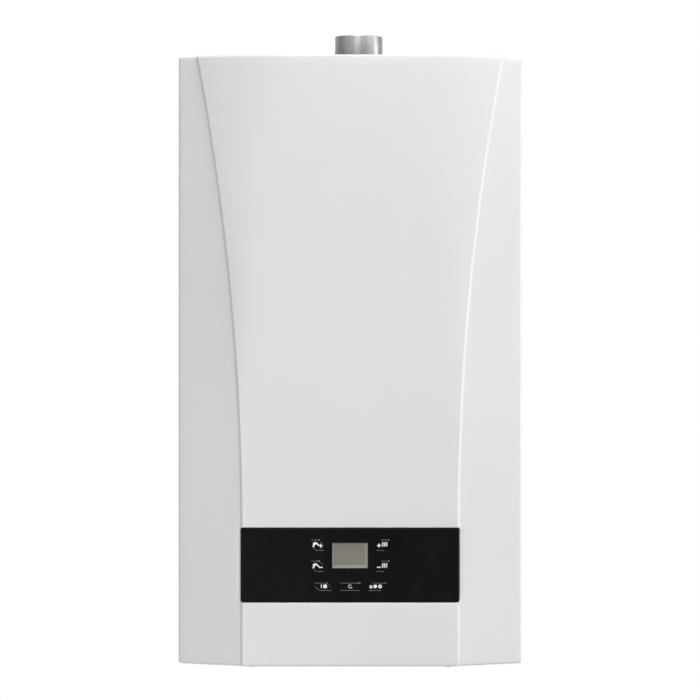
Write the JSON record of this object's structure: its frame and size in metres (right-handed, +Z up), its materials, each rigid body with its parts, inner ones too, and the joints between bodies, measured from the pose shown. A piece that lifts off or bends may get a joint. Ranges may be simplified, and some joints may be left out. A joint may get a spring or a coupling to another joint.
{
  "type": "combi boiler",
  "caption": "Wall-hung gas combi boiler with a sealed air chamber, fan flue stub, white flared casing and a black control fascia with keys and a display.",
  "frame": {"origin": "on the wall face of the back plate, midway between the two hanging slots", "axes": "+X to the right seen from the front, -Y to the front of the boiler, +Z up"},
  "size_m": [0.398, 0.299, 0.741],
  "materials": {
    "enamel": "smooth white powder enamel, semi-gloss",
    "galvanised": "galvanised sheet, fine spangle",
    "aluminium": "satin",
    "steel": "satin",
    "copper": "drawn copper, slightly oxidised",
    "brass": "turned and cast brass",
    "black_gloss": "smooth black",
    "black_plastic": "moulded, fine texture",
    "grey_plastic": "moulded, fine texture",
    "white_plastic": "moulded",
    "red_paint": "stove enamel",
    "red_plastic": "moulded",
    "blue_plastic": "moulded",
    "cast_green": "coated casting",
    "display": "liquid crystal panel, switched off",
    "glass": "clear",
    "ceramic": "glazed ceramic",
    "fibre": "pressed ceramic fibre board",
    "board": "solder-masked laminate",
    "silicone": "soft tube"
  },
  "bodies": {
    "chassis": {"back_plate": "galvanised", "hanging_rail": "galvanised", "bottom_tray": "galvanised", "casing_screw_left": "steel", "casing_screw_right": "steel", "cable_gland": "black_plastic", "expansion_vessel": "red_paint", "air_chamber_shell": "galvanised", "air_chamber_cover": "galvanised", "sight_glass": "glass", "flue_flange": "aluminium", "flue_stub": "aluminium", "flue_hood": "aluminium", "heat_exchanger": "copper", "combustion_chamber": "fibre", "burner_rack": "steel", "gas_manifold": "aluminium", "ignition_electrode": "ceramic", "sensing_electrode": "ceramic", "air_pressure_switch": "black_plastic", "pressure_tube": "silicone", "fan_housing": "galvanised", "fan_motor": "steel", "flow_group": "brass", "diverter_actuator": "black_plastic", "return_group": "brass", "plate_heat_exchanger": "steel", "safety_valve": "brass", "flow_pipe": "copper", "return_pipe": "copper", "vessel_pipe": "copper", "pump_volute": "cast_green", "pump_motor": "grey_plastic", "air_vent": "brass", "pressure_gauge": "black_plastic", "gauge_glass": "glass", "gas_pipe_lower": "steel", "gas_valve": "aluminium", "gas_pipe_upper": "steel"},
    "casing": {"casing_shell": "enamel"},
    "control_box": {"fascia": "black_gloss", "display_module": "display", "control_box_shell": "grey_plastic", "control_box_cover": "grey_plastic", "main_board": "board"},
    "fan_wheel": {"fan_impeller": "galvanised"},
    "pump_wheel": {"pump_impeller": "white_plastic"},
    "diverter_pin": {"diverter_spindle": "steel"},
    "relief_knob": {"safety_valve_knob": "red_plastic"},
    "filling_tap": {"filling_knob": "blue_plastic"},
    "drain_tap": {"drain_knob": "black_plastic"},
    "dial_needle": {"gauge_needle": "red_plastic"},
    "body_key_hot_water_up": {"key_hot_water_up": "black_gloss"},
    "body_key_hot_water_down": {"key_hot_water_down": "black_gloss"},
    "body_key_heating_up": {"key_heating_up": "black_gloss"},
    "body_key_heating_down": {"key_heating_down": "black_gloss"},
    "body_key_power": {"key_power": "black_gloss"},
    "body_key_reset": {"key_reset": "black_gloss"},
    "body_key_mode": {"key_mode": "black_gloss"}
  },
  "joints": [
    {"name": "casing_lift_off", "type": "slide", "parent": "chassis", "child": "casing", "axis": [0, -1, 0], "range_m": [0, 0.42]},
    {"name": "control_box_hinge", "type": "hinge", "parent": "chassis", "child": "control_box", "pos_m": [0, -0.284, -0.582], "axis": [1, 0, 0], "range_deg": [0, 90]},
    {"name": "key_hot_water_up_press", "type": "slide", "parent": "control_box", "child": "body_key_hot_water_up", "axis": [0, 1, 0], "range_m": [0, 0.001], "stiffness_N_per_m": 500},
    {"name": "key_hot_water_down_press", "type": "slide", "parent": "control_box", "child": "body_key_hot_water_down", "axis": [0, 1, 0], "range_m": [0, 0.001], "stiffness_N_per_m": 500},
    {"name": "key_heating_up_press", "type": "slide", "parent": "control_box", "child": "body_key_heating_up", "axis": [0, 1, 0], "range_m": [0, 0.001], "stiffness_N_per_m": 500},
    {"name": "key_heating_down_press", "type": "slide", "parent": "control_box", "child": "body_key_heating_down", "axis": [0, 1, 0], "range_m": [0, 0.001], "stiffness_N_per_m": 500},
    {"name": "key_power_press", "type": "slide", "parent": "control_box", "child": "body_key_power", "axis": [0, 1, 0], "range_m": [0, 0.001], "stiffness_N_per_m": 500},
    {"name": "key_reset_press", "type": "slide", "parent": "control_box", "child": "body_key_reset", "axis": [0, 1, 0], "range_m": [0, 0.001], "stiffness_N_per_m": 500},
    {"name": "key_mode_press", "type": "slide", "parent": "control_box", "child": "body_key_mode", "axis": [0, 1, 0], "range_m": [0, 0.001], "stiffness_N_per_m": 500},
    {"name": "fan_spin", "type": "hinge", "parent": "chassis", "child": "fan_wheel", "pos_m": [-0.0402, -0.147, -0.048], "axis": [0, -1, 0], "continuous": true},
    {"name": "pump_spin", "type": "hinge", "parent": "chassis", "child": "pump_wheel", "pos_m": [0.13, -0.095, -0.476], "axis": [0, -1, 0], "continuous": true},
    {"name": "diverter_stroke", "type": "slide", "parent": "chassis", "child": "diverter_pin", "axis": [0, 0, -1], "range_m": [0, 0.006], "stiffness_N_per_m": 1500, "springref_m": -0.002},
    {"name": "relief_knob_turn", "type": "hinge", "parent": "chassis", "child": "relief_knob", "pos_m": [0.0975, -0.14, -0.558], "axis": [0, -1, 0], "range_deg": [0, 90]},
    {"name": "filling_tap_turn", "type": "hinge", "parent": "chassis", "child": "filling_tap", "pos_m": [0.0975, -0.095, -0.622], "axis": [0, 0, -1], "range_deg": [0, 270]},
    {"name": "drain_tap_turn", "type": "hinge", "parent": "chassis", "child": "drain_tap", "pos_m": [-0.0975, -0.095, -0.622], "axis": [0, 0, -1], "range_deg": [0, 270]},
    {"name": "needle_turn", "type": "hinge", "parent": "chassis", "child": "dial_needle", "pos_m": [0.095, -0.206, -0.614], "axis": [0, 0, -1], "range_deg": [-130, 130]}
  ],
  "couplings": [
    {"joint": "control_box_hinge", "follows": "casing_lift_off", "rad_per_m": 3.739}
  ]
}
